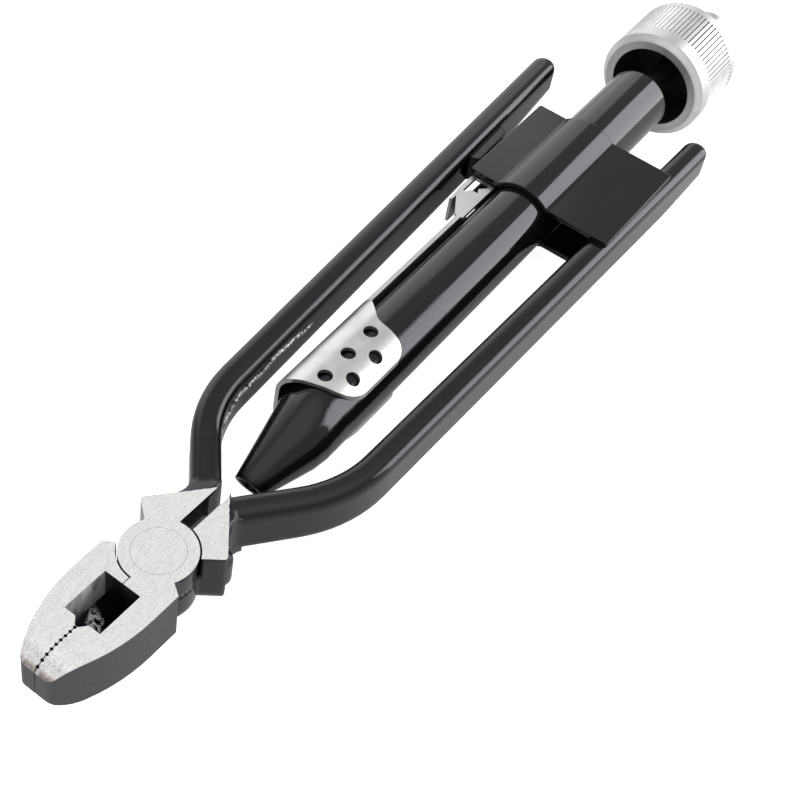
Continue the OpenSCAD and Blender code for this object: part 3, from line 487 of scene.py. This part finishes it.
black_paint = paint_material("black_paint_gloss", EDGE)
barrel_paint = paint_material("black_paint_barrel", EDGE, NOSE_EDGE)
ground_steel = steel_material("ground_steel_face")
oxide = oxide_material("black_oxide_steel")
wire = wire_material("spring_wire")
plate = plate_material("bright_plated_sheet")
alloy = turned_material("turned_alloy", grey(0.42), grey(0.54), 0.40, 0.52)
brass = turned_material("turned_brass", (0.55, 0.38, 0.14, 1.0), (0.72, 0.53, 0.22, 1.0), 0.2, 0.32)

FINISH = {
    "swing_lever": lever_material("lever_swinging", 1),
    "fixed_lever": lever_material("lever_fixed", -1),
    "pivot_rivet": ground_steel,
    "barrel": barrel_paint,
    "nose_bush": oxide,
    "bracket_top": black_paint,
    "bracket_bottom": black_paint,
    "catch_finger": black_paint,
    "latch_slide": plate,
    "latch_spring": wire,
    "twist_nut": brass,
    "nut_retaining_ring": wire,
    "spring_seat_washer": wire,
    "return_spring": wire,
    "spring_follower": brass,
    "follower_clip": wire,
    "spiral_rod": oxide,
    "knob": knob_material("knob_alloy_satin"),
    "rod_end_cap": alloy,
}
for name, material in FINISH.items():
    for slot in nodes[name].material_slots:
        slot.material = material


# Pieces made here

def tube_faces(rings, sides):
    """Faces of a closed tube whose corners run round it, ring after ring."""
    faces = []
    for i in range(rings):
        for k in range(sides):
            a, b = i * sides + k, i * sides + (k + 1) % sides
            faces.append((a, b, b + sides, a + sides))
    faces.append(tuple(reversed(range(sides))))
    faces.append(tuple(range(rings * sides, (rings + 1) * sides)))
    return faces


def add_piece(name, verts, faces, material, smooth=True):
    """A new object in the scene with one material."""
    mesh = bpy.data.meshes.new(name)
    mesh.from_pydata(verts, [], faces)
    if smooth:
        mesh.shade_smooth()
    mesh.materials.append(material)
    piece = bpy.data.objects.new(name, mesh)
    bpy.context.scene.collection.objects.link(piece)
    return piece


# Forging flash left under the paint on the inner side of the swinging handle

# The handle's bend: corner of its middle line, radius, and slopes in front of it and behind it
BEND_AT = Vector((30.5 * MM, 14.8 * MM))
BEND_R = 25.0 * MM
NECK_ANGLE = math.radians(38.7)
RAKE = math.radians(2.3)
HANDLE_W = 5.3 * MM
# Ends of the flash: the first measured along the handle from the rear end of its bend
FLASH_START = -10.0 * MM
FLASH_END_X = 61.0 * MM
FLASH_RINGS = 260
FLASH_SIDES = 8
# Its thickness and how much that varies, how much wider it is than high, and the taper at its ends
FLASH_R = 0.40 * MM
FLASH_R_VARY = 0.22 * MM
FLASH_WIDE = 1.2
FLASH_TAPER = 12
FLASH_TIP = 0.02
# Its height above the handle's middle, at its ends and added halfway, and its long and short waves
FLASH_LIFT = 0.7 * MM
FLASH_ARCH = 0.9 * MM
FLASH_LONG = 0.9 * MM
FLASH_SHORT = 0.35 * MM


def inner_side(along):
    """Point and direction on the handle's inner side, so far along from the rear end of its bend."""
    tangent_l = BEND_R * math.tan((NECK_ANGLE - RAKE) / 2)
    run = Vector((math.cos(RAKE), math.sin(RAKE)))
    right = Vector((run.y, -run.x))
    bend_out = BEND_AT + run * tangent_l
    centre = bend_out + right * BEND_R
    inner_r = BEND_R - HANDLE_W / 2
    if along >= 0:
        return bend_out + right * HANDLE_W / 2 + run * along, run
    angle = math.pi / 2 + RAKE - along / inner_r
    c, d = math.cos(angle), math.sin(angle)
    return centre + inner_r * Vector((c, d)), Vector((d, -c))


def waver(t, waves, row):
    """A smooth random value between about -1 and 1 that wavers so often from t 0 to t 1."""
    return noise.noise(Vector((t * waves, row, 0.0)))


def make_flash():
    """A thin ragged bead that wanders about the middle of the handle's side."""
    stop = FLASH_END_X - inner_side(0.0)[0].x
    verts = []
    for i in range(FLASH_RINGS + 1):
        t = i / FLASH_RINGS
        point, along = inner_side(FLASH_START + (stop - FLASH_START) * t)
        side = Vector((along.y, -along.x))
        wander = waver(t, 9, 0.3) * FLASH_LONG + waver(t, 40, 2.1) * FLASH_SHORT
        height = MID_Z + FLASH_LIFT + FLASH_ARCH * math.sin(math.pi * t) + wander
        swell = FLASH_R + FLASH_R_VARY * waver(t, 60, 5.7)
        swell *= min(1.0, FLASH_TAPER * t, FLASH_TAPER * (1 - t)) + FLASH_TIP
        for k in range(FLASH_SIDES):
            a = 2 * math.pi * k / FLASH_SIDES
            out = side * (math.cos(a) * swell * FLASH_WIDE)
            verts.append((point.x + out.x, point.y + out.y, height + math.sin(a) * swell))
    flash = add_piece("handle_flash", verts, tube_faces(FLASH_RINGS, FLASH_SIDES),
                      flash_material("black_paint_scuffed"))
    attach(flash, "swing_half")


make_flash()


# Springs wound from round wire, in the room of their solids

RINGS_PER_TURN = 40
WIRE_SIDES = 12


def make_spring(name, node, turns, wire_d):
    """A coil of that many turns of wire in the box of its solid, which it hides."""
    solid = nodes[node]
    points = [solid.matrix_world @ v.co for v in solid.data.vertices]
    low, high = ([pick(p[k] for p in points) for k in range(3)] for pick in (min, max))
    length = high[0] - low[0]
    wire_r = wire_d / 2
    radius = (high[1] - low[1]) / 2 - wire_r
    mid_y, mid_z = (low[1] + high[1]) / 2, (low[2] + high[2]) / 2
    start, run = low[0] + wire_r, length - wire_d
    slope = run / turns / (2 * math.pi * radius)
    rings = turns * RINGS_PER_TURN
    verts = []
    for i in range(rings + 1):
        a = 2 * math.pi * i / RINGS_PER_TURN
        for k in range(WIRE_SIDES):
            b = 2 * math.pi * k / WIRE_SIDES
            out, rise = radius + wire_r * math.cos(b), wire_r * math.sin(b)
            verts.append((start + run * i / rings + rise,
                          mid_y + out * math.cos(a) + rise * slope * math.sin(a),
                          mid_z + out * math.sin(a) - rise * slope * math.cos(a)))
    spring = add_piece(name, verts, tube_faces(rings, WIRE_SIDES), wire)
    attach(spring, "fixed_half")
    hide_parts(node)
    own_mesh(spring)


make_spring("return_coil", "return_spring", turns=18, wire_d=0.9 * MM)
make_spring("latch_coil", "latch_spring", turns=9, wire_d=0.4 * MM)

# Studio

FLOOR_Z = cad_box[0].z - 0.2 * MM
FLOOR_HALF = 3.0
PAPER = grey(0.78)
# Light that the floor adds for the camera and in reflections
FLOOR_SEEN = 0.86
FLOOR_MIRRORED = 0.05
# Brightness of the surroundings low down and overhead, and the elevations between which it changes
SKY_LOW = 0.52
SKY_HIGH = 1.07
SKY_RISE = (46, 72)
# Light added by a pale wall to the left: azimuths of its edges, and elevations where it starts and is full
WALL_LEFT = 0.95
LEFT_BACK_EDGE = (18.5, 22.5)
LEFT_FRONT_EDGE = (84, 68)
LEFT_TOP = (46, 38)
# Light added by a pale wall in front, and the X of the directions where it starts and is full
WALL_FRONT = 0.6
FRONT_X = (-0.45, -0.75)
# Point that the lamp faces
AIM = Vector((80 * MM, 0.0, MID_Z))


def make_floor():
    """White paper, clear from below."""
    mat = bpy.data.materials.new("floor_white")
    mat.use_nodes = True
    g = Nodes(mat.node_tree)
    out = g.tree.nodes.new("ShaderNodeOutputMaterial")
    paper = g.tree.nodes.new("ShaderNodeBsdfDiffuse")
    g.put(paper.inputs["Color"], PAPER)
    lift = g.tree.nodes.new("ShaderNodeEmission")
    path = g.tree.nodes.new("ShaderNodeLightPath").outputs
    mirrored = g.math("MAXIMUM", path["Is Glossy Ray"], path["Is Transmission Ray"])
    seen = g.math("MULTIPLY", path["Is Camera Ray"], FLOOR_SEEN)
    g.put(lift.inputs["Strength"], g.math("MULTIPLY_ADD", mirrored, FLOOR_MIRRORED, seen))
    both = g.tree.nodes.new("ShaderNodeAddShader")
    g.put(both.inputs[0], paper.outputs[0])
    g.put(both.inputs[1], lift.outputs[0])
    below = g.tree.nodes.new("ShaderNodeMixShader")
    g.put(below.inputs[0], g.tree.nodes.new("ShaderNodeNewGeometry").outputs["Backfacing"])
    g.put(below.inputs[1], both.outputs[0])
    g.put(below.inputs[2], g.tree.nodes.new("ShaderNodeBsdfTransparent").outputs[0])
    g.put(out.inputs["Surface"], below.outputs[0])
    h = FLOOR_HALF
    corners = [(-h, -h, FLOOR_Z), (h, -h, FLOOR_Z), (h, h, FLOOR_Z), (-h, h, FLOOR_Z)]
    floor = add_piece("floor", corners, [(0, 1, 2, 3)], mat, smooth=False)


def sines(degrees):
    """Heights of directions at those elevations."""
    return [math.sin(math.radians(d)) for d in degrees]


def make_world():
    """Pale surroundings, brighter overhead, to the left and in front; white to the camera."""
    world = bpy.data.worlds.new("studio")
    bpy.context.scene.world = world
    world.use_nodes = True
    g = Nodes(world.node_tree)
    out = g.tree.nodes.new("ShaderNodeOutputWorld")
    sky = g.tree.nodes.new("ShaderNodeBackground")
    g.put(sky.inputs["Color"], grey(1.0))
    x, y, z = g.xyz(g.coord.outputs["Generated"])
    azimuth = g.math("ARCTAN2", y, x)
    left = g.product(g.ramp(azimuth, *map(math.radians, LEFT_BACK_EDGE)),
                     g.ramp(azimuth, *map(math.radians, LEFT_FRONT_EDGE)),
                     g.ramp(z, *sines(LEFT_TOP)), WALL_LEFT)
    front = g.math("MULTIPLY", g.ramp(x, *FRONT_X), WALL_FRONT)
    level = g.ramp(z, *sines(SKY_RISE), SKY_LOW, SKY_HIGH)
    light = g.math("ADD", level, g.math("ADD", left, front))
    seen = g.tree.nodes.new("ShaderNodeLightPath").outputs["Is Camera Ray"]
    g.put(sky.inputs["Strength"], g.blend(seen, light, 1.0))
    g.put(out.inputs["Surface"], sky.outputs[0])


def softbox(name, azimuth, elevation, width, height, radiance, distance):
    """A flat lamp, facing the middle of the pliers; width and height are angles as seen from there."""
    a, e = math.radians(azimuth), math.radians(elevation)
    toward = Vector((math.cos(a) * math.cos(e), math.sin(a) * math.cos(e), math.sin(e)))
    data = bpy.data.lights.new(name, "AREA")
    data.shape = "RECTANGLE"
    data.size = 2 * distance * math.tan(math.radians(width) / 2)
    data.size_y = 2 * distance * math.tan(math.radians(height) / 2)
    data.energy = radiance * math.pi * data.size * data.size_y
    lamp = bpy.data.objects.new(name, data)
    lamp.location = AIM + toward * distance
    lamp.rotation_mode = "QUATERNION"
    lamp.rotation_quaternion = toward.to_track_quat("Z", "Y")
    bpy.context.scene.collection.objects.link(lamp)


make_floor()
make_world()
softbox("softbox_right", azimuth=-38, elevation=21, width=46, height=38, radiance=4.4, distance=0.9)

# Camera fitted to the photograph
LENS_PX = 1634.06
IMAGE_PX = 800
SENSOR = 36.0
AZIMUTH, ELEVATION, ROLL = (math.radians(v) for v in (-64.727, 48.736, 12.143))
CAMERA_AT = Vector((-120.27 * MM, -92.85 * MM, 227.63 * MM))


def make_camera():
    """The camera at its place, rolled about its own axis."""
    back = Vector((math.sin(AZIMUTH) * math.cos(ELEVATION), -math.cos(AZIMUTH) * math.cos(ELEVATION),
                   math.sin(ELEVATION)))
    right = Vector((math.cos(AZIMUTH), math.sin(AZIMUTH), 0.0))
    up = back.cross(right)
    rolled_right = math.cos(ROLL) * right + math.sin(ROLL) * up
    rolled_up = math.cos(ROLL) * up - math.sin(ROLL) * right
    data = bpy.data.cameras.new("camera")
    data.sensor_width = SENSOR
    data.lens = LENS_PX * SENSOR / IMAGE_PX
    data.clip_start = 0.01
    data.clip_end = 20.0
    camera = bpy.data.objects.new("camera", data)
    turn = Matrix((rolled_right, rolled_up, back)).transposed()
    camera.matrix_world = Matrix.Translation(CAMERA_AT) @ turn.to_4x4()
    bpy.context.scene.collection.objects.link(camera)
    bpy.context.scene.camera = camera


make_camera()
bpy.context.scene.view_settings.view_transform = "Standard"
